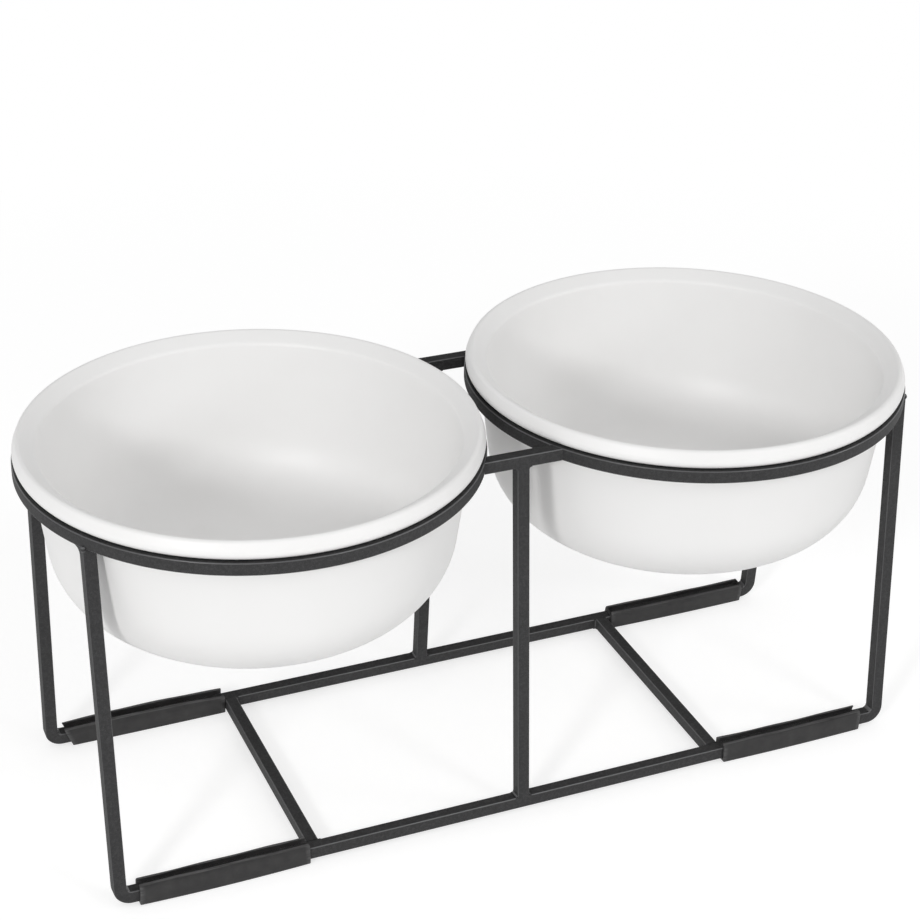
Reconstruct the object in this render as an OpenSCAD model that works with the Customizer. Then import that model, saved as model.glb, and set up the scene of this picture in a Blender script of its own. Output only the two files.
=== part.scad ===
// Raised dog feeder: a welded square-bar stand that holds two lift-out ceramic bowls.
// Millimetres. +X runs along the pair of bowls, +Z is up, the floor is at Z = 0.

/* [Bar] */
// Side of the solid square steel bar
bar_size = 6.7; // [5:0.1:8]
// Radius on the long edges of the bar
bar_edge_r = 0.8; // [0.4:0.1:1.4]

/* [Rings] */
// Outside diameter of each bowl ring
ring_outer_d = 231.7; // [210:0.1:250]
// Free gap between the two rings
ring_gap = 7.3; // [4:0.1:20]
// Height of the rings' top face above the floor
ring_top_z = 203.9; // [180:0.1:240]

/* [Leaning frames] */
// Spacing of the front and rear bridge bars, centre to centre
bridge_spacing = 115; // [95:1:135]
// Spacing of the front and rear base bars, centre to centre
base_spacing = 143.5; // [130:0.5:170]
// Spacing of the two cross bars, centre to centre
cross_spacing = 230; // [180:1:280]
// Inside radius of the bends at the feet
bend_inner_r = 2.5; // [2:0.5:8]
// Gap left by the copes where a bridge bar meets a ring
cope_gap = 0.05; // [0.02:0.01:0.2]

/* [Welds] */
// Size of the weld fillets at the leg tops
weld_size = 4.4; // [2:0.2:6]
// Size of the weld fillets beside the ends of the posts and cross bars
butt_weld_size = 1.2; // [0.8:0.1:3]
// Bare strip left between a weld and the edges of the bar it lies on
weld_margin = 0.3; // [0.2:0.1:1]
// Share of a bar's rounded edge that is filled flush where another bar butts on it
edge_fill = 0.7; // [0.5:0.05:0.85]

/* [Foot strips] */
// Thickness of the strip's walls
strip_wall = 1.5; // [1.2:0.1:2.2]
// Thickness of the strip under the bar
strip_floor = 1.9; // [1.5:0.1:4]
// Play between the strip and the bar
strip_play = 0.1; // [0.05:0.01:0.3]
// Height of the lips that fold in over the bar
strip_lip_h = 2.4; // [1.5:0.1:4]
// How far each lip folds in
strip_lip_in = 0.75; // [0:0.05:1.2]
// Gap between the strip and the cross bar
strip_cross_gap = 0.3; // [0.2:0.1:10]
// Gap between the strip and the start of the bend
strip_bend_gap = 3.5; // [0.2:0.1:20]

/* [Bowls] */
// Play between the bowl's wall and the inside of its ring
bowl_play = 0.8; // [0.6:0.1:4]
// Depth of the bowl under its lip
bowl_depth = 84; // [76:0.5:95]
// Thickness of the bowl's wall
bowl_wall = 5; // [3.5:0.1:7]
// Lean of the wall, from its narrow base out to the lip
bowl_taper = 7.5; // [3:0.5:11]
// Radius between the wall and the base
bowl_corner_r = 42; // [30:1:50]
// Width of the foot ring under the base
foot_ring_w = 7; // [4:0.5:15]
// Depth of the recess inside the foot ring
foot_recess = 1.5; // [0.5:0.1:2.5]

/* [Bowl lip] */
// Distance of the lip inside the ring's outer edge
lip_inset = 0.6; // [0:0.1:1]
// Height of the lip above the ring
lip_h = 9.6; // [8.5:0.1:14]
// Radius of the lip's outer roll
lip_roll_r = 4; // [3:0.1:4.4]
// Radius of the lip's crest
lip_crest_r = 2; // [1.5:0.1:2.8]
// Distance of the crest inside the lip's outer edge
lip_crest_set = 3.4; // [3:0.1:5]
// Slope of the lip's inner face
lip_slope = 33; // [25:1:50]
// Radius where the lip's inner face turns down into the bowl
lip_shoulder_r = 3.5; // [2:0.5:6]

/* [Hidden] */
$fn = 96;
arc_steps = 14;
spare = 1;

left = -1;
right = 1;
front = -1;
rear = 1;

steel_colour = "#2e2e30";
rubber_colour = "#1d1d1e";
glaze_colour = "#f3f2ef";

bar_half = bar_size / 2;
ring_r = ring_outer_d / 2;
ring_mid_r = ring_r - bar_half;
ring_inner_r = ring_r - bar_size;
ring_x = ring_r + ring_gap / 2;
ring_under_z = ring_top_z - bar_size;

// The frames lean in from the base bars to the bridge bars
base_y = base_spacing / 2;
bridge_y = bridge_spacing / 2;
base_z = strip_floor + strip_play + bar_half;
frame_rise = ring_under_z - base_z;
lean = atan((base_y - bridge_y) / frame_rise);
frame_slant = norm([frame_rise, base_y - bridge_y]);
bend_r = bend_inner_r + bar_half;
// Each leg stands under the middle of its ring's bar
leg_x = ring_x + sqrt(pow(ring_mid_r, 2) - pow(bridge_y, 2));
leg_turn = asin(bridge_y / ring_mid_r);
weld_w = bar_size - 2 * (bar_edge_r + weld_margin);
// Each bridge bar ends on the outer faces of the rings
bridge_half = ring_x - sqrt(pow(ring_r, 2) - pow(bridge_y, 2));
cross_x = cross_spacing / 2;
whole_size = 4 * ring_outer_d;

strip_half = bar_half + strip_play;
strip_outer_half = strip_half + strip_wall;
strip_lip_z = bar_half + strip_play;
strip_top_z = strip_lip_z + strip_lip_h;
strip_start_x = cross_x + bar_half + strip_cross_gap;
strip_end_x = leg_x - bend_r - strip_bend_gap;
// The strip's underside is cut level with the floor, so it starts a little lower
strip_bottom_z = -strip_half - strip_floor - strip_outer_half * tan(lean) - spare;

// Bowl profile, as radius and height above the ring: a leaning wall and a corner tangent to wall and base
bowl_mouth_r = ring_inner_r - bowl_play;
wall_normal = [cos(bowl_taper), -sin(bowl_taper)];
wall_offset = bowl_mouth_r * wall_normal[0];
corner_z = bowl_corner_r - bowl_depth;
corner_centre = [(wall_offset - bowl_corner_r - corner_z * wall_normal[1]) / wall_normal[0], corner_z];
foot_inner_r = corner_centre[0] - foot_ring_w;
// Lip profile: outer roll, crest, sloped inner face and shoulder, each tangent to the next
lip_r = ring_r - lip_inset;
roll_centre = [lip_r - lip_roll_r, lip_roll_r];
crest_centre = [lip_r - lip_crest_set, lip_h - lip_crest_r];
roll_to_crest = crest_centre - roll_centre;
roll_turn = atan2(roll_to_crest[1], roll_to_crest[0])
  - acos((lip_roll_r - lip_crest_r) / norm(roll_to_crest));
slope_turn = 90 + lip_slope;
slope_normal = [cos(slope_turn), sin(slope_turn)];
slope_offset = crest_centre * slope_normal + lip_crest_r;
shoulder_centre = crossing(
  slope_normal, slope_offset - lip_shoulder_r,
  wall_normal, wall_offset - bowl_wall + lip_shoulder_r
);

// Right half of the strip's section, from the bar's underside up round the lip and down to the floor
strip_half_section = [
  [strip_half, -strip_half],
  [strip_half, strip_lip_z],
  [strip_half - strip_lip_in, strip_top_z],
  [strip_outer_half - strip_lip_in, strip_top_z],
  [strip_outer_half, strip_lip_z],
  [strip_outer_half, strip_bottom_z]
];

// Point that lies on two lines, each given by its normal and its distance along it
function crossing(normal_a, offset_a, normal_b, offset_b) =
  let (turn = normal_a[0] * normal_b[1] - normal_a[1] * normal_b[0])
    [
      offset_a * normal_b[1] - offset_b * normal_a[1],
      offset_b * normal_a[0] - offset_a * normal_b[0]
    ] / turn;

function mirrored_back(points) = [
  for (i = [len(points) - 1:-1:0])
    [-points[i][0], points[i][1]]
];

function arc(centre, r, from, to) = [
  for (i = [0:arc_steps])
    let (a = from + (to - from) * i / arc_steps)
      centre + r * [cos(a), sin(a)]
];

// Square bar section with rounded edges
module bar_section() {
  inner = bar_size - 2 * bar_edge_r;
  square([bar_size, inner], center = true);
  square([inner, bar_size], center = true);
  for (x = [-inner / 2, inner / 2])
    for (y = [-inner / 2, inner / 2])
      translate([x, y])
        circle(bar_edge_r);
}

// Straight bar along +Z
module bar(length) {
  linear_extrude(length)
    bar_section();
}

// Puts a frame drawn upright at Y = 0, base bar at Z = 0, in its leaning place
module leaning_frame(side) {
  mirror([0, side == rear ? 1 : 0, 0])
    translate([0, -base_y, base_z])
      rotate([-lean, 0, 0])
        children();
}

// Everything above the rings' underside
module above_rings() {
  translate([-whole_size / 2, -whole_size / 2, ring_under_z])
    cube(whole_size);
}

// Everything under the floor
module under_floor() {
  translate([-whole_size / 2, -whole_size / 2, -whole_size])
    cube(whole_size);
}

module ring(side) {
  color(steel_colour)
    translate([side * ring_x, 0, ring_under_z + bar_half])
      rotate_extrude()
        translate([ring_mid_r, 0])
          bar_section();
}

// Short bar between the rings, coped to their outer faces
module bridge_bar(side) {
  color(steel_colour)
    difference() {
      translate([-bridge_half - bar_size, side * bridge_y, ring_under_z + bar_half])
        rotate([0, 90, 0])
          bar(2 * (bridge_half + bar_size));
      for (x = [-ring_x, ring_x])
        translate([x, 0, ring_under_z - spare])
          cylinder(r = ring_r + cope_gap, h = bar_size + 2 * spare);
    }
}

// One bar bent twice: leg, base bar, leg
module bent_frame(side) {
  straight = leg_x - bend_r;
  color(steel_colour)
    difference() {
      leaning_frame(side) {
        translate([-straight, 0, 0])
          rotate([0, 90, 0])
            bar(2 * straight);
        for (turn = [0, 1])
          mirror([turn, 0, 0]) {
            translate([straight, 0, bend_r])
              rotate([90, 0, 0])
                rotate([0, 0, -90])
                  rotate_extrude(angle = 90)
                    translate([bend_r, 0])
                      bar_section();
            translate([leg_x, 0, bend_r])
              bar(frame_slant);
          }
      }
      above_rings();
    }
}

// Post from the base bar to the bridge bar
module mid_post(side) {
  color(steel_colour)
    difference() {
      leaning_frame(side)
        translate([0, 0, bar_half])
          bar(frame_slant + bar_size);
      above_rings();
    }
}

// Bar between the inner faces of the two base bars
module cross_bar(side) {
  color(steel_colour)
    difference() {
      translate([side * cross_x, -base_y, base_z])
        rotate([-90, 0, 0])
          bar(2 * base_y);
      for (frame_side = [front, rear])
        leaning_frame(frame_side)
          translate([-whole_size / 2, bar_half - whole_size, -whole_size / 2])
            cube(whole_size);
    }
}

// Hollow-faced weld on the outer side of a leg, along the underside of its ring
module leg_weld(end, side) {
  weld_foot_r = bar_half / cos(leg_turn);
  weld_r = weld_foot_r + weld_size;
  color(steel_colour)
    mirror([end == left ? 1 : 0, 0, 0])
      mirror([0, side == rear ? 1 : 0, 0])
        difference() {
          translate([leg_x, -bridge_y, ring_under_z - weld_size])
            intersection() {
              rotate_extrude()
                difference() {
                  square([weld_r, weld_size]);
                  translate([weld_r, 0])
                    circle(weld_size);
                }
              rotate([0, 0, 90 - leg_turn])
                translate([0, -weld_w / 2, 0])
                  cube([weld_r, weld_w, weld_size]);
            }
          leaning_frame(front)
            translate([leg_x, 0, bend_r])
              bar(frame_slant);
        }
}

// Weld round the end of a bar that stands at Z = 0 on a bar along X:
// a hollow fillet on each side of it, and the long edges of the bar below filled flush
module butt_weld() {
  fill = edge_fill * bar_edge_r;
  reach = bar_half + butt_weld_size;
  translate([0, bar_half - weld_margin, 0])
    rotate([90, 0, 0])
      linear_extrude(bar_size - 2 * weld_margin)
        difference() {
          translate([-reach, 0])
            square([2 * reach, butt_weld_size]);
          for (x = [-reach, reach])
            translate([x, butt_weld_size])
              circle(butt_weld_size);
        }
  difference() {
    for (y = [-bar_half, bar_half - fill])
      translate([-reach, y, -fill])
        cube([2 * reach, fill, fill]);
    translate([-reach - spare, 0, -bar_half])
      rotate([0, 90, 0])
        bar(2 * (reach + spare));
  }
}

// Weld under the bridge bar, round the top of its post
module post_top_weld(side) {
  color(steel_colour)
    difference() {
      translate([0, side * bridge_y, ring_under_z])
        mirror([0, 0, 1])
          butt_weld();
      mid_post(side);
    }
}

// Weld on the base bar, round the foot of its post
module post_foot_weld(side) {
  color(steel_colour)
    difference() {
      leaning_frame(side)
        translate([0, 0, bar_half])
          butt_weld();
      mid_post(side);
    }
}

// Weld at the end of a cross bar, left off on the side where the foot strip starts
module cross_weld(end, side) {
  color(steel_colour)
    mirror([end == left ? 1 : 0, 0, 0])
      difference() {
        leaning_frame(side)
          translate([cross_x, bar_half, 0])
            rotate([-90, 0, 0])
              butt_weld();
        cross_bar(right);
        translate([cross_x + bar_half - weld_margin, -whole_size / 2, -whole_size / 2])
          cube(whole_size);
      }
}

// Rubber channel pushed up over the base bar, level underneath
module foot_strip(end, side) {
  color(rubber_colour)
    difference() {
      mirror([end == left ? 1 : 0, 0, 0])
        leaning_frame(side)
          translate([strip_start_x, 0, 0])
            rotate([90, 0, 90])
              linear_extrude(strip_end_x - strip_start_x)
                polygon(concat(strip_half_section, mirrored_back(strip_half_section)));
      under_floor();
    }
}

// Turned bowl, hung in its ring by the rolled lip
module bowl(side) {
  color(glaze_colour)
    translate([side * ring_x, 0, ring_top_z])
      rotate_extrude()
        polygon(concat(
          [
            [0, foot_recess - bowl_depth],
            [foot_inner_r, foot_recess - bowl_depth],
            [foot_inner_r, -bowl_depth]
          ],
          arc(corner_centre, bowl_corner_r, -90, -bowl_taper),
          [[bowl_mouth_r, 0]],
          arc(roll_centre, lip_roll_r, -90, roll_turn),
          arc(crest_centre, lip_crest_r, roll_turn, slope_turn),
          arc(shoulder_centre, lip_shoulder_r, slope_turn, 180 - bowl_taper),
          arc(corner_centre, bowl_corner_r - bowl_wall, -bowl_taper, -90),
          [[0, bowl_wall - bowl_depth]]
        ));
}

ring(left);  // left_ring
ring(right);  // right_ring
bridge_bar(front);  // front_bridge_bar
bridge_bar(rear);  // rear_bridge_bar
bent_frame(front);  // front_bent_frame
bent_frame(rear);  // rear_bent_frame
mid_post(front);  // front_mid_post
mid_post(rear);  // rear_mid_post
cross_bar(left);  // left_cross_bar
cross_bar(right);  // right_cross_bar
leg_weld(left, front);  // front_left_leg_weld
leg_weld(right, front);  // front_right_leg_weld
leg_weld(left, rear);  // rear_left_leg_weld
leg_weld(right, rear);  // rear_right_leg_weld
post_top_weld(front);  // front_post_top_weld
post_top_weld(rear);  // rear_post_top_weld
post_foot_weld(front);  // front_post_foot_weld
post_foot_weld(rear);  // rear_post_foot_weld
cross_weld(left, front);  // front_left_cross_weld
cross_weld(right, front);  // front_right_cross_weld
cross_weld(left, rear);  // rear_left_cross_weld
cross_weld(right, rear);  // rear_right_cross_weld
foot_strip(left, front);  // front_left_foot_strip
foot_strip(right, front);  // front_right_foot_strip
foot_strip(left, rear);  // rear_left_foot_strip
foot_strip(right, rear);  // rear_right_foot_strip
bowl(left);  // water_bowl
bowl(right);  // food_bowl
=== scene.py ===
from math import acos, atan2, ceil, copysign, cos, degrees, pi, radians, sin, tan

import bmesh
import bpy
from mathutils import Matrix, Vector


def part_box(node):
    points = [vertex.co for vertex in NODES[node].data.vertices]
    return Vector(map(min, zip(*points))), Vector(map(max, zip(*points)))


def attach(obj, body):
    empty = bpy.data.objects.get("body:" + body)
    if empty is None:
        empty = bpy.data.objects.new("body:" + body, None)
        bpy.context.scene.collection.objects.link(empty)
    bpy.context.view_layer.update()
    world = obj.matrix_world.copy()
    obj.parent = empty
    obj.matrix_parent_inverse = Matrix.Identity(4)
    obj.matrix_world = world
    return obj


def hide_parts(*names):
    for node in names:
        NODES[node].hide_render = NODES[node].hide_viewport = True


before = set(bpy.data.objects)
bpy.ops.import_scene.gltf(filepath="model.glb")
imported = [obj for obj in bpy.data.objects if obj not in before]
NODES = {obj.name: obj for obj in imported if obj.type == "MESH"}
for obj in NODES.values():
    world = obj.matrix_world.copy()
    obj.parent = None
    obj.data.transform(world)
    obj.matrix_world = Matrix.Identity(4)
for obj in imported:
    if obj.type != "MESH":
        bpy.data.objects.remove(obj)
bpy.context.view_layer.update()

SCENE = bpy.context.scene
MM = 0.001

# Camera, found by fitting the stand's own edges: place in metres, angles in degrees, focal length in pixels
CAMERA_PLACE = Vector((-0.39874, -0.90756, 0.70009))
CAMERA_AZIMUTH = -23.302
CAMERA_ELEVATION = 28.0825
CAMERA_ROLL = 1.1107
FOCAL_PIXELS = 2175.63
PHOTO_SIDE = 920
SENSOR_MM = 36.0

# Light on the part from the surroundings, low down and overhead, and how bright they look in reflections there
LOW_GLOW = 0.425
HIGH_GLOW = 0.66
LOW_SKY = 1.0
HIGH_SKY = 0.2
SKY_FADE = (0.05, 0.45)

# Lamps: name, azimuth and elevation in degrees, width and height in metres, watts
LAMPS = (
    ("key_lamp", -48.0, 23.0, 0.33, 0.33, 16.4),
    ("strip_lamp", 25.0, 30.0, 0.4, 1.7, 7.0),
    ("side_lamp", 60.0, 20.0, 0.5, 0.5, 5.5),
)
LAMP_DISTANCE = 2.2
LAMP_AIM = Vector((0.0, 0.0, 0.15))

# Floor: half its side and where its shading ends, in metres; what it throws back, keeps as shade and gives off
FLOOR_HALF = 6.0
FLOOR_FADE = (0.35, 0.9)
FLOOR_BOUNCE = 0.85
FLOOR_SHADE = 0.50
FLOOR_GLOW = 0.62

# Square bar and leaning frames, in millimetres
BAR_SIDE = 6.7
BAR_EDGE_R = 0.8
BASE_SPACING = 143.5
BRIDGE_SPACING = 115.0

# Bowl, in millimetres and degrees
BOWL_WALL = 5.0
BOWL_LEAN = 7.5
BOWL_PLAY = 0.8
BOWL_CORNER_R = 42.0
FOOT_RING_W = 7.0
FOOT_RECESS = 1.5
FOOT_RECESS_R = 0.8
FOOT_EDGE_R = 0.6
NECK_R = 1.0
LIP_ROLL_R = 4.0
LIP_CREST_R = 2.0
LIP_CREST_SET = 3.4
LIP_SLOPE = 33.0
LIP_SHOULDER_R = 3.5

# Rubber strips, in millimetres; the ripples are counted along a strip
STRIP_WALL = 1.5
STRIP_PLAY = 0.1
STRIP_LIP_H = 2.4
STRIP_EDGE_R = 1.0
STRIP_TIP_R = 0.5
STRIP_CUT_R = 0.3
STRIP_RIPPLE = 0.13
STRIP_RIPPLES = 2.6

# Weld beads on the outer corners of the leg tops, in millimetres
BEAD_SIZE = (1.35, 1.35, 1.6)
BEAD_SET = 0.75

# Fineness of the meshes: steps round or along a piece, degrees to a step on small and large arcs, and how far
# apart, in millimetres, the points of an outline may be
RING_STEPS = 288
BOWL_STEPS = 256
STRIP_STEPS = 36
SMALL_ARC_STEP = 15.0
LARGE_ARC_STEP = 5.0
RING_REACH = 0.9
BOWL_REACH = 6.0
STRIP_REACH = 0.8
SHARP_EDGE = radians(50)

# How each strip was cut and pushed on, in millimetres. short: how far its left and right end stop short of the
# plain strip's; slant: how these cuts run along the bar for each millimetre up; outer, inner: how far that lip
# folds in at the left and right end; curl: how far the ends lift off the floor; arch: rise of the lips midway
STRIPS = {
    "front_left": {
        "short": (0, 0), "slant": (0.05, 0), "outer": (1.9, 1.3), "inner": (1.2, 0.4),
        "curl": 0.9, "arch": 0,
    },
    "front_right": {
        "short": (0, 2.5), "slant": (0, 0.1), "outer": (1.3, 1.7), "inner": (0.4, 1.1),
        "curl": 0.5, "arch": -0.5,
    },
    "rear_left": {
        "short": (0, 0), "slant": (-0.4, 0), "outer": (0.9, 0.4), "inner": (1.7, 1.2),
        "curl": 0.2, "arch": 1.2,
    },
    "rear_right": {
        "short": (2.5, -2.5), "slant": (0.1, 0.1), "outer": (0.6, 0.9), "inner": (1.2, 1.5),
        "curl": 0.5, "arch": -0.3,
    },
}


def toward(azimuth, elevation):
    """Direction from the part to a camera or lamp. Azimuth 0 is straight in front."""
    return Vector((sin(azimuth) * cos(elevation), -cos(azimuth) * cos(elevation), sin(elevation)))


def put_camera():
    azimuth, elevation, roll = (radians(v) for v in (CAMERA_AZIMUTH, CAMERA_ELEVATION, CAMERA_ROLL))
    back = toward(azimuth, elevation)
    level = Vector((cos(azimuth), sin(azimuth), 0.0))
    rise = level.cross(-back)
    right = level * cos(roll) + rise * sin(roll)
    up = rise * cos(roll) - level * sin(roll)
    data = bpy.data.cameras.new("photo_camera")
    data.sensor_fit = "HORIZONTAL"
    data.sensor_width = SENSOR_MM
    data.lens = FOCAL_PIXELS * SENSOR_MM / PHOTO_SIDE
    data.clip_start = 0.01
    data.clip_end = 50.0
    camera = bpy.data.objects.new("photo_camera", data)
    SCENE.collection.objects.link(camera)
    turn = Matrix((right, up, back)).transposed().to_4x4()
    camera.matrix_world = Matrix.Translation(CAMERA_PLACE) @ turn
    SCENE.camera = camera


class Nodes:
    """Builds a node tree. A value may be a plain one or another node's output."""

    def __init__(self, tree):
        self.tree = tree
        tree.nodes.clear()

    def add(self, kind, inputs=None, **settings):
        """Makes a node, sets it up and feeds its inputs."""
        node = self.tree.nodes.new(kind)
        for name, value in settings.items():
            setattr(node, name, value)
        for key, value in (inputs or {}).items():
            self.feed(node.inputs[key], value)
        return node

    def feed(self, socket, value):
        if isinstance(value, bpy.types.NodeSocket):
            self.tree.links.new(value, socket)
        else:
            socket.default_value = value

    def math(self, operation, *values):
        return self.add("ShaderNodeMath", dict(enumerate(values)), operation=operation).outputs[0]


def new_material(name):
    material = bpy.data.materials.new(name)
    material.use_nodes = True
    return material, Nodes(material.node_tree)


def grey(value):
    return (value, value, value, 1.0)


def noise(n, place, scale, detail, roughness):
    node = n.add("ShaderNodeTexNoise", {"Vector": place, "Scale": scale, "Detail": detail, "Roughness": roughness})
    return node.outputs["Fac"]


def ramp(n, value, stops):
    """Colour ramp through (position, colour) stops."""
    node = n.add("ShaderNodeValToRGB", {"Fac": value})
    band = node.color_ramp
    while len(band.elements) < len(stops):
        band.elements.new(1.0)
    for element, (position, colour) in zip(band.elements, stops):
        element.position = position
        element.color = colour
    return node.outputs["Color"]


def spread(n, value, low, high, start=0.0, end=1.0):
    """Takes a value between start and end to the range low to high."""
    inputs = {"Value": value, "From Min": start, "From Max": end, "To Min": low, "To Max": high}
    return n.add("ShaderNodeMapRange", inputs).outputs["Result"]


def blend(n, share, first, second):
    """Colour between two others. A mix node keeps its colours at sockets 6 and 7 and their blend at output 2."""
    return n.add("ShaderNodeMix", {0: share, 6: first, 7: second}, data_type="RGBA").outputs[2]


def bumps(n, height, strength, distance):
    inputs = {"Height": height, "Strength": strength, "Distance": distance}
    return n.add("ShaderNodeBump", inputs).outputs["Normal"]


def end_material(n, colour, roughness, gloss, normal):
    surface = n.add("ShaderNodeBsdfPrincipled", {
        "Base Color": colour,
        "Roughness": roughness,
        "Specular IOR Level": gloss,
        "Normal": normal,
    })
    n.add("ShaderNodeOutputMaterial", {"Surface": surface.outputs["BSDF"]})


def rounded_edges(n, place, under_rings):
    """Masks for the rounded edges between flat faces, along lying bars and up the bars below the rings, where a paler
    grey paints a highlight.
    """
    normal = n.add("ShaderNodeNewGeometry").outputs["Normal"]
    x2, y2, z2 = (n.math("MULTIPLY", v, v) for v in n.add("ShaderNodeSeparateXYZ", {"Vector": normal}).outputs)
    height = n.add("ShaderNodeSeparateXYZ", {"Vector": place}).outputs["Z"]
    below = spread(n, height, 1.0, 0.0, under_rings - 2 * MM, under_rings)
    lying = spread(n, n.math("MULTIPLY", z2, n.math("SUBTRACT", 1.0, z2)), 0.0, 1.0, 0.08, 0.22)
    upright = spread(n, n.math("MULTIPLY", x2, y2), 0.0, 0.6, 0.11, 0.23)
    return lying, n.math("MULTIPLY", upright, below)


def powder_coat(under_rings):
    """Charcoal powder coat on steel bar: satin with fine grain and paler flecks, and a painted highlight of paler
    grey on the rounded edges.
    """
    material, n = new_material("charcoal_powder_coat")
    place = n.add("ShaderNodeTexCoord").outputs["Object"]
    grain = noise(n, place, 900.0, 3.0, 0.6)
    fleck = noise(n, place, 2600.0, 1.0, 0.5)
    mottle = noise(n, place, 650.0, 3.0, 0.65)
    ground = ramp(n, mottle, [
        (0.36, (0.0055, 0.0054, 0.0058, 1)),
        (0.50, (0.0105, 0.0103, 0.0110, 1)),
        (0.64, (0.0200, 0.0197, 0.0208, 1)),
    ])
    specks = ramp(n, fleck, [(0.60, grey(0.0)), (0.74, grey(1.0))])
    coat = blend(n, specks, ground, (0.040, 0.040, 0.042, 1))
    lying, upright = rounded_edges(n, place, under_rings)
    # Painted highlight: the rounded edges are blended towards a paler grey
    colour = blend(n, n.math("MAXIMUM", lying, upright), coat, (0.105, 0.105, 0.108, 1))
    satin = spread(n, grain, 0.66, 0.78)
    smoother = spread(n, lying, 1.0, 0.35)
    end_material(n, colour, n.math("MULTIPLY", satin, smoother), 0.66, bumps(n, grain, 0.25, 0.12 * MM))
    return material


def black_rubber():
    """Extruded black rubber: matt, with streaks along its length, and a painted highlight of paler grey on the lip
    tips and cut ends.
    """
    material, n = new_material("black_rubber")
    place = n.add("ShaderNodeTexCoord").outputs["Object"]
    along = n.add("ShaderNodeMapping", {"Vector": place, "Scale": (0.06, 1.0, 1.0)}).outputs["Vector"]
    streak = noise(n, along, 1200.0, 2.0, 0.5)
    dust = noise(n, place, 140.0, 4.0, 0.6)
    ground = ramp(n, dust, [(0.35, (0.0215, 0.0211, 0.0215, 1)), (0.75, (0.0370, 0.0360, 0.0360, 1))])
    # Painted highlight on the lip tips and cut ends, broken up by the streaks
    edge = n.add("ShaderNodeAttribute", attribute_name="painted_edge_highlight").outputs["Fac"]
    highlight_share = n.math("MULTIPLY", edge, spread(n, streak, 0.3, 1.0, 0.35, 0.65))
    colour = blend(n, highlight_share, ground, (0.085, 0.084, 0.085, 1))
    end_material(n, colour, spread(n, dust, 0.42, 0.60), 0.36, bumps(n, streak, 0.3, 0.1 * MM))
    return material


def white_glaze(foot_z):
    """White satin glaze, faintly uneven, wiped off the foot ring down to the bare body."""
    material, n = new_material("white_satin_glaze")
    place = n.add("ShaderNodeTexCoord").outputs["Object"]
    cloud = noise(n, place, 14.0, 3.0, 0.5)
    pits = noise(n, place, 420.0, 2.0, 0.5)
    height = n.add("ShaderNodeSeparateXYZ", {"Vector": place}).outputs["Z"]
    bare = spread(n, height, 1.0, 0.0, foot_z + 0.4 * MM, foot_z + 0.8 * MM)
    glaze = ramp(n, cloud, [(0.3, (0.862, 0.857, 0.850, 1)), (0.7, (0.882, 0.878, 0.873, 1))])
    body = ramp(n, pits, [(0.35, (0.70, 0.66, 0.59, 1)), (0.65, (0.78, 0.74, 0.68, 1))])
    satin = spread(n, cloud, 0.42, 0.50)
    roughness = n.math("MAXIMUM", satin, spread(n, bare, 0.0, 0.85))
    end_material(n, blend(n, bare, glaze, body), roughness, 0.5, bumps(n, pits, 0.06, 0.2 * MM))
    return material


def seen_ray(n):
    """1 for rays that show the surroundings: straight to the camera, or by way of gloss or glass."""
    ray = n.add("ShaderNodeLightPath").outputs
    mirrored = n.math("MAXIMUM", ray["Is Glossy Ray"], ray["Is Transmission Ray"])
    return n.math("MAXIMUM", ray["Is Camera Ray"], mirrored)


def white_surroundings():
    """White behind the part, and in reflections white at eye level and dim overhead."""
    world = bpy.data.worlds.new("white_studio")
    world.use_nodes = True
    SCENE.world = world
    n = Nodes(world.node_tree)
    way = n.add("ShaderNodeTexCoord").outputs["Generated"]
    up = n.add("ShaderNodeSeparateXYZ", {"Vector": way}).outputs["Z"]
    plain = n.add("ShaderNodeLightPath").outputs["Is Camera Ray"]
    sky = n.math("MAXIMUM", spread(n, up, LOW_SKY, HIGH_SKY, *SKY_FADE), plain)
    soft = spread(n, up, LOW_GLOW, HIGH_GLOW)
    strength = n.math("MULTIPLY_ADD", n.math("SUBTRACT", sky, soft), seen_ray(n), soft)
    glow = n.add("ShaderNodeBackground", {"Color": grey(1.0), "Strength": strength})
    n.add("ShaderNodeOutputWorld", {"Surface": glow.outputs["Background"]})


def hang_lamps():
    """A key lamp on the left, a tall strip lamp and a side lamp on the right."""
    for name, azimuth, elevation, width, height, watts in LAMPS:
        offset = toward(radians(azimuth), radians(elevation)) * LAMP_DISTANCE
        data = bpy.data.lights.new(name, "AREA")
        data.shape = "ELLIPSE"
        data.size = width
        data.size_y = height
        data.energy = watts
        lamp = bpy.data.objects.new(name, data)
        SCENE.collection.objects.link(lamp)
        lamp.location = LAMP_AIM + offset
        lamp.rotation_euler = (-offset).to_track_quat("-Z", "Y").to_euler()


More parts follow.
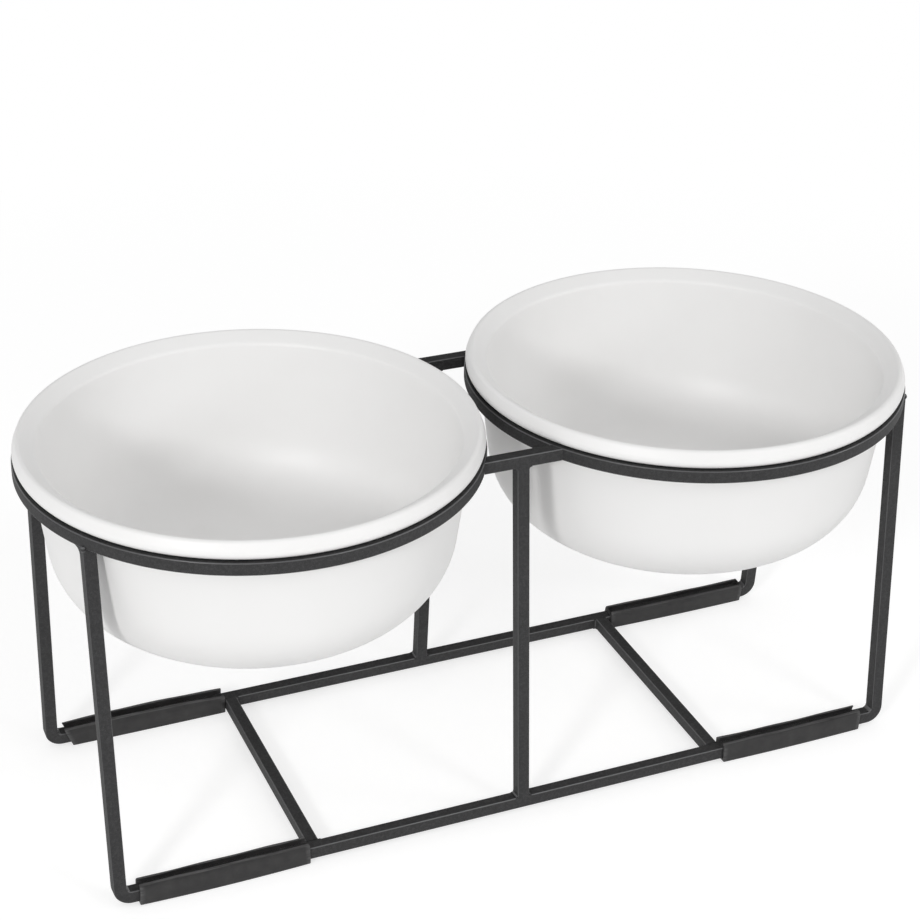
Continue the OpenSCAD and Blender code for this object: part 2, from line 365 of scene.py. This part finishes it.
def pale_floor():
    """Plain floor that keeps a soft shadow round the stand and turns plain white further out."""
    mesh = bpy.data.meshes.new("floor")
    corners = [(sx * FLOOR_HALF, sy * FLOOR_HALF, 0) for sx, sy in ((-1, -1), (1, -1), (1, 1), (-1, 1))]
    mesh.from_pydata(corners, [], [(0, 1, 2, 3)])
    floor = bpy.data.objects.new("floor", mesh)
    SCENE.collection.objects.link(floor)
    material, n = new_material("white_floor")
    place = n.add("ShaderNodeTexCoord").outputs["Object"]
    distance = n.add("ShaderNodeVectorMath", {0: place}, operation="LENGTH").outputs["Value"]
    far = spread(n, distance, 0.0, 1.0, *FLOOR_FADE)
    bounce = n.add("ShaderNodeBsdfDiffuse", {"Color": grey(FLOOR_BOUNCE)})
    shade = n.add("ShaderNodeBsdfDiffuse", {"Color": grey(FLOOR_SHADE)})
    glow = n.add("ShaderNodeEmission", {"Color": grey(1.0), "Strength": FLOOR_GLOW})
    lit = n.add("ShaderNodeAddShader", {0: shade.outputs["BSDF"], 1: glow.outputs["Emission"]})
    plain = n.add("ShaderNodeEmission", {"Color": grey(1.0), "Strength": 1.0})
    white = n.add("ShaderNodeMixShader", {0: far, 1: lit.outputs["Shader"], 2: plain.outputs["Emission"]})
    both = n.add("ShaderNodeMixShader", {0: seen_ray(n), 1: bounce.outputs["BSDF"], 2: white.outputs["Shader"]})
    n.add("ShaderNodeOutputMaterial", {"Surface": both.outputs["Shader"]})
    mesh.materials.append(material)


def rounded(corners, step):
    """Outline through (x, y, radius) corners, each one rounded by an arc of its radius."""
    points = []
    for i, (x, y, radius) in enumerate(corners):
        here = Vector((x, y))
        if radius == 0:
            points.append(here)
            continue
        back = (Vector(corners[i - 1][:2]) - here).normalized()
        ahead = (Vector(corners[(i + 1) % len(corners)][:2]) - here).normalized()
        half = back.angle(ahead) / 2
        centre = here + (back + ahead).normalized() * radius / sin(half)
        spoke = here + back * radius / tan(half) - centre
        sweep = pi - 2 * half
        if back.cross(ahead) > 0:
            sweep = -sweep
        steps = max(3, ceil(abs(degrees(sweep)) / step))
        for k in range(steps + 1):
            points.append(centre + Matrix.Rotation(sweep * k / steps, 2) @ spoke)
    return points


def divided(points, reach, closed):
    """The same outline with points no further apart than reach, which keeps the shading of flat faces flat."""
    out = []
    ends = points[1:] + points[:1] if closed else points[1:]
    for a, b in zip(points, ends):
        parts = max(1, ceil((b - a).length / reach))
        out += [a.lerp(b, k / parts) for k in range(parts)]
    return out if closed else out + [points[-1]]


def outline_object(name, points, closed):
    """Object that holds an outline as loose points and edges, for a node tree to work on."""
    mesh = bpy.data.meshes.new(name)
    count = len(points)
    edges = [(i, (i + 1) % count) for i in range(count if closed else count - 1)]
    mesh.from_pydata(points, edges, [])
    piece = bpy.data.objects.new(name, mesh)
    SCENE.collection.objects.link(piece)
    return piece


def new_tree(name, inputs):
    """Geometry node tree with named inputs, and the node builder for it."""
    tree = bpy.data.node_groups.new(name, "GeometryNodeTree")
    tree.interface.new_socket("Outline", in_out="INPUT", socket_type="NodeSocketGeometry")
    for label, kind in inputs.items():
        tree.interface.new_socket(label, in_out="INPUT", socket_type=f"NodeSocket{kind}")
    tree.interface.new_socket("Piece", in_out="OUTPUT", socket_type="NodeSocketGeometry")
    n = Nodes(tree)
    return tree, n, n.add("NodeGroupInput").outputs


def end_tree(n, shape, given):
    """Makes one mesh, merges seams, smooths the shading, gives the material and ends the tree."""
    solid = n.add("GeometryNodeRealizeInstances", {"Geometry": shape}).outputs["Geometry"]
    closed = n.add("GeometryNodeMergeByDistance", {"Geometry": solid, "Distance": 1e-6}).outputs["Geometry"]
    smooth = n.add("GeometryNodeSetShadeSmooth", {"Geometry": closed}).outputs["Geometry"]
    coated = n.add("GeometryNodeSetMaterial", {"Geometry": smooth, "Material": given["Material"]}).outputs["Geometry"]
    n.add("NodeGroupOutput", {"Piece": coated})


def shape_by_tree(piece, tree, values):
    """Runs the tree on the piece, keeps its result as a plain mesh and turns the faces outwards."""
    modifier = piece.modifiers.new("shape", "NODES")
    modifier.node_group = tree
    for item in tree.interface.items_tree:
        if item.in_out == "INPUT" and item.name in values:
            modifier[item.identifier] = values[item.name]
    graph = bpy.context.evaluated_depsgraph_get()
    mesh = bpy.data.meshes.new_from_object(piece.evaluated_get(graph), depsgraph=graph)
    piece.modifiers.clear()
    piece.data = mesh
    face_outwards(mesh)


def face_outwards(mesh):
    work = bmesh.new()
    work.from_mesh(mesh)
    bmesh.ops.recalc_face_normals(work, faces=work.faces)
    work.to_mesh(mesh)
    work.free()


def ring_tree():
    """Bar of the outline's section, led once round a circle."""
    inputs = {"Ring Radius": "Float", "Steps": "Int", "Centre": "Vector", "Material": "Material"}
    tree, n, given = new_tree("bar_round_a_ring", inputs)
    section = n.add("GeometryNodeMeshToCurve", {"Mesh": given["Outline"]}).outputs["Curve"]
    circle = {"Resolution": given["Steps"], "Radius": given["Ring Radius"]}
    path = n.add("GeometryNodeCurvePrimitiveCircle", circle).outputs["Curve"]
    bar = n.add("GeometryNodeCurveToMesh", {"Curve": path, "Profile Curve": section}).outputs["Mesh"]
    placed = n.add("GeometryNodeTransform", {"Geometry": bar, "Translation": given["Centre"]}).outputs["Geometry"]
    end_tree(n, placed, given)
    return tree


def turning_tree():
    """Turned piece: a grid whose rows take the outline's points and whose columns go round the axis."""
    inputs = {"Points": "Int", "Steps": "Int", "Centre": "Vector", "Material": "Material"}
    tree, n, given = new_tree("turned_from_an_outline", inputs)
    columns = n.math("ADD", given["Steps"], 1.0)
    grid = n.add("GeometryNodeMeshGrid", {"Vertices X": columns, "Vertices Y": given["Points"]}).outputs["Mesh"]
    index = n.add("GeometryNodeInputIndex").outputs["Index"]
    row = n.math("MODULO", index, given["Points"])
    column = n.math("FLOOR", n.math("DIVIDE", n.math("ADD", index, 0.5), given["Points"]))
    outline = n.add("GeometryNodeSampleIndex", {
        "Geometry": given["Outline"],
        "Value": n.add("GeometryNodeInputPosition").outputs["Position"],
        "Index": row,
    }, data_type="FLOAT_VECTOR", domain="POINT").outputs["Value"]
    angle = n.math("MULTIPLY", n.math("DIVIDE", column, given["Steps"]), 2 * pi)
    turned = n.add("ShaderNodeVectorRotate", {"Vector": outline, "Angle": angle}, rotation_type="Z_AXIS").outputs[0]
    bent = n.add("GeometryNodeSetPosition", {"Geometry": grid, "Position": turned}).outputs["Geometry"]
    placed = n.add("GeometryNodeTransform", {"Geometry": bent, "Translation": given["Centre"]}).outputs["Geometry"]
    end_tree(n, placed, given)
    return tree


def bead_tree():
    """Round weld beads, one on each of the outline's points."""
    tree, n, given = new_tree("beads_on_points", {"Size": "Vector", "Material": "Material"})
    ball = n.add("GeometryNodeMeshIcoSphere", {"Radius": 1.0, "Subdivisions": 4}).outputs["Mesh"]
    inputs = {"Points": given["Outline"], "Instance": ball, "Scale": given["Size"]}
    beads = n.add("GeometryNodeInstanceOnPoints", inputs).outputs["Instances"]
    end_tree(n, beads, given)
    return tree


def middle_of(node):
    low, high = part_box(node)
    return (Vector(low) + Vector(high)) / 2


def make_ring(end, tree, coat):
    """One bowl ring, smooth all round."""
    node = f"{end}_ring"
    low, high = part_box(node)
    half = BAR_SIDE / 2
    corners = [(sx * half, sy * half, BAR_EDGE_R) for sx, sy in ((1, 1), (-1, 1), (-1, -1), (1, -1))]
    section = divided(rounded(corners, SMALL_ARC_STEP), RING_REACH, True)
    piece = outline_object(f"{end}_ring_bar", [(p.x * MM, p.y * MM, 0.0) for p in section], True)
    shape_by_tree(piece, tree, {
        "Ring Radius": (high[0] - low[0]) / 2 - half * MM,
        "Steps": RING_STEPS,
        "Centre": middle_of(node),
        "Material": coat,
    })
    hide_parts(node)
    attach(piece, "stand")


def make_beads(tree, coat):
    """The beads that close the corners where the legs reach out past the rings."""
    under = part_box("left_ring")[0][2]
    face_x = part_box("front_bent_frame")[1][0]
    face_y = (BRIDGE_SPACING + BAR_SIDE) / 2 * MM
    inset = BEAD_SET * MM
    corners = [(sx * (face_x - inset), sy * (face_y - inset), under) for sx in (-1, 1) for sy in (-1, 1)]
    piece = outline_object("leg_top_beads", corners, False)
    shape_by_tree(piece, tree, {"Size": Vector(BEAD_SIZE) * MM, "Material": coat})
    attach(piece, "stand")


def crossing(line_a, line_b):
    """Point on two lines, each given by its normal's angle in degrees and its distance from the origin."""
    (ta, da), (tb, db) = ((radians(t), d) for t, d in (line_a, line_b))
    turn = sin(tb - ta)
    return (da * sin(tb) - db * sin(ta)) / turn, (db * cos(ta) - da * cos(tb)) / turn


def bowl_outline(mouth_r, lip_r, lip_h, depth):
    """Half section of a bowl as radius and height over its ring, from the axis underneath to the axis inside."""
    outer_wall = (-BOWL_LEAN, mouth_r * cos(radians(BOWL_LEAN)))
    inner_wall = (-BOWL_LEAN, outer_wall[1] - BOWL_WALL)
    roll = Vector((lip_r - LIP_ROLL_R, LIP_ROLL_R))
    crest = Vector((lip_r - LIP_CREST_SET, lip_h - LIP_CREST_R))
    to_crest = crest - roll
    lip_turn = atan2(to_crest.y, to_crest.x) - acos((LIP_ROLL_R - LIP_CREST_R) / to_crest.length)
    lip_face = (degrees(lip_turn), roll.dot(Vector((cos(lip_turn), sin(lip_turn)))) + LIP_ROLL_R)
    slope = Vector((-sin(radians(LIP_SLOPE)), cos(radians(LIP_SLOPE))))
    lip_inside = (90 + LIP_SLOPE, crest.dot(slope) + LIP_CREST_R)
    base, inside, under_lip = (90, -depth), (90, BOWL_WALL - depth), (90, 0)
    base_corner = crossing(outer_wall, base)
    foot_r = base_corner[0] - BOWL_CORNER_R * tan(radians((90 - BOWL_LEAN) / 2)) - FOOT_RING_W
    corners = [
        (0, FOOT_RECESS - depth, 0),
        (foot_r, FOOT_RECESS - depth, FOOT_RECESS_R),
        (foot_r, -depth, FOOT_EDGE_R),
        (*base_corner, BOWL_CORNER_R),
        (mouth_r, 0, NECK_R),
        (*crossing(lip_face, under_lip), LIP_ROLL_R),
        (*crossing(lip_face, lip_inside), LIP_CREST_R),
        (*crossing(lip_inside, inner_wall), LIP_SHOULDER_R),
        (*crossing(inner_wall, inside), BOWL_CORNER_R - BOWL_WALL),
        (0, BOWL_WALL - depth, 0),
    ]
    return divided(rounded(corners, LARGE_ARC_STEP), BOWL_REACH, False)


def make_bowl(name, end, tree, glaze):
    """One turned bowl, hung in its ring."""
    low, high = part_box(name)
    ring_low, ring_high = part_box(f"{end}_ring")
    ring_r = (ring_high[0] - ring_low[0]) / 2 / MM
    ring_top = ring_high[2]
    outline = bowl_outline(
        ring_r - BAR_SIDE - BOWL_PLAY,
        (high[0] - low[0]) / 2 / MM,
        (high[2] - ring_top) / MM,
        (ring_top - low[2]) / MM,
    )
    piece = outline_object(f"{name}_turned", [(p.x * MM, 0.0, p.y * MM) for p in outline], False)
    centre = middle_of(name)
    centre.z = ring_top
    shape_by_tree(piece, tree, {"Points": len(outline), "Steps": BOWL_STEPS, "Centre": centre, "Material": glaze})
    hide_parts(name)
    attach(piece, name)


def strip_section(floor):
    """Section of a strip with upright lips, as distance outward and up from the bar's centre."""
    inside = BAR_SIDE / 2 + STRIP_PLAY
    outside = inside + STRIP_WALL
    tip = inside + STRIP_LIP_H
    half = [
        (inside, -inside, STRIP_CUT_R),
        (inside, tip, STRIP_TIP_R),
        (outside, tip, STRIP_TIP_R),
        (outside, floor, STRIP_EDGE_R),
    ]
    whole = half + [(-x, y, r) for x, y, r in half[::-1]]
    return divided(rounded(whole, SMALL_ARC_STEP), STRIP_REACH, True)


def pushed_on(point, t, floor, lean, fit):
    """Where a point of the section goes at a share t of the strip's length."""
    inside = BAR_SIDE / 2 + STRIP_PLAY
    left, right = fit["outer"] if point.x > 0 else fit["inner"]
    to_end = (2 * t - 1) ** 2
    high = max(0.0, point.y - inside) / STRIP_LIP_H
    low = max(0.0, -inside - point.y) / (-inside - floor)
    out = point.x - copysign(left + (right - left) * t, point.x) * high ** 2
    ripple = STRIP_RIPPLE * sin(2 * pi * STRIP_RIPPLES * t + point.x)
    lift = fit["arch"] * (1 - to_end) + ripple
    up = point.y + lift * high + (fit["curl"] * to_end - out * tan(lean)) * low
    return out, up


def strip_rows(work, section, ends, side, base_z, lean, floor, fit):
    """Rows of points along a strip, one round the section at each step, with both cut ends rounded off."""
    ahead, behind = section[1:] + section[:1], section[-1:] + section[:-1]
    inward = [Vector(((b - a).y, (a - b).x)).normalized() for a, b in zip(behind, ahead)]
    cut = STRIP_CUT_R / (ends[1] - ends[0])
    shares = [cut + (1 - 2 * cut) * k / STRIP_STEPS for k in range(STRIP_STEPS + 1)]
    rows = []
    for t in [0.0] + shares + [1.0]:
        inset = STRIP_CUT_R if t in (0.0, 1.0) else 0.0
        row = []
        for point, turn in zip(section, inward):
            out, up = pushed_on(point + turn * inset, t, floor, lean, fit)
            left = ends[0] + fit["short"][0] + fit["slant"][0] * up
            right = ends[1] - fit["short"][1] + fit["slant"][1] * up
            y = side * (BASE_SPACING / 2 + out * cos(lean) - up * sin(lean))
            z = base_z + out * sin(lean) + up * cos(lean)
            row.append(work.verts.new(Vector((left + (right - left) * t, y, z)) * MM))
        rows.append(row)
    return rows


def mark_strip_highlight(mesh, section, row_count):
    """Marks the lip tips, and the two rows of points at each cut end, for a painted highlight."""
    tip = BAR_SIDE / 2 + STRIP_PLAY + STRIP_LIP_H - STRIP_TIP_R
    on_lips = [float(point.y > tip) for point in section]
    on_cuts = [1.0] * (2 * len(section))
    # Mask for the painted highlight on the lip tips and cut ends
    highlight_share = mesh.attributes.new("painted_edge_highlight", "FLOAT", "POINT")
    highlight_share.data.foreach_set("value", on_cuts + on_lips * (row_count - 4) + on_cuts)


def make_strip(place, side, rubber):
    """One rubber channel strip as it sits on its base bar."""
    node = f"{place}_foot_strip"
    ends = [corner[0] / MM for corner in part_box(node)]
    base_z = middle_of("left_cross_bar").z / MM
    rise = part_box("left_ring")[0][2] / MM - base_z
    lean = atan2((BASE_SPACING - BRIDGE_SPACING) / 2, rise)
    floor = -base_z / cos(lean)
    section = strip_section(floor)
    work = bmesh.new()
    rows = strip_rows(work, section, ends, side, base_z, lean, floor, STRIPS[place])
    for a, b in zip(rows, rows[1:]):
        for i in range(len(section)):
            work.faces.new((a[i - 1], a[i], b[i], b[i - 1]))
    caps = [work.faces.new(rows[0]), work.faces.new(rows[-1])]
    bmesh.ops.triangulate(work, faces=caps, ngon_method="EAR_CLIP")
    bmesh.ops.recalc_face_normals(work, faces=work.faces)
    mesh = bpy.data.meshes.new(f"{place}_strip")
    work.to_mesh(mesh)
    work.free()
    mesh.shade_smooth()
    mesh.set_sharp_from_angle(angle=SHARP_EDGE)
    mesh.materials.append(rubber)
    mark_strip_highlight(mesh, section, len(rows))
    piece = bpy.data.objects.new(f"{place}_strip", mesh)
    SCENE.collection.objects.link(piece)
    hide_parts(node)
    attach(piece, "stand")


def finish_nodes(material, words):
    """Gives a finish to every CAD piece with one of the words in its name."""
    for name, node in NODES.items():
        if any(word in name for word in words):
            node.data.materials.clear()
            node.data.materials.append(material)


put_camera()
white_surroundings()
hang_lamps()
pale_floor()
coat = powder_coat(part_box("left_ring")[0][2])
rubber = black_rubber()
glaze = white_glaze(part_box("water_bowl")[0][2])
finish_nodes(coat, ("ring", "bar", "frame", "post", "weld"))
finish_nodes(rubber, ("strip",))
finish_nodes(glaze, ("bowl",))
ring_shape = ring_tree()
for end in ("left", "right"):
    make_ring(end, ring_shape, coat)
make_beads(bead_tree(), coat)
turning = turning_tree()
for name, end in (("water_bowl", "left"), ("food_bowl", "right")):
    make_bowl(name, end, turning, glaze)
for place in STRIPS:
    make_strip(place, -1 if place.startswith("front") else 1, rubber)
SCENE.view_settings.view_transform = "Standard"
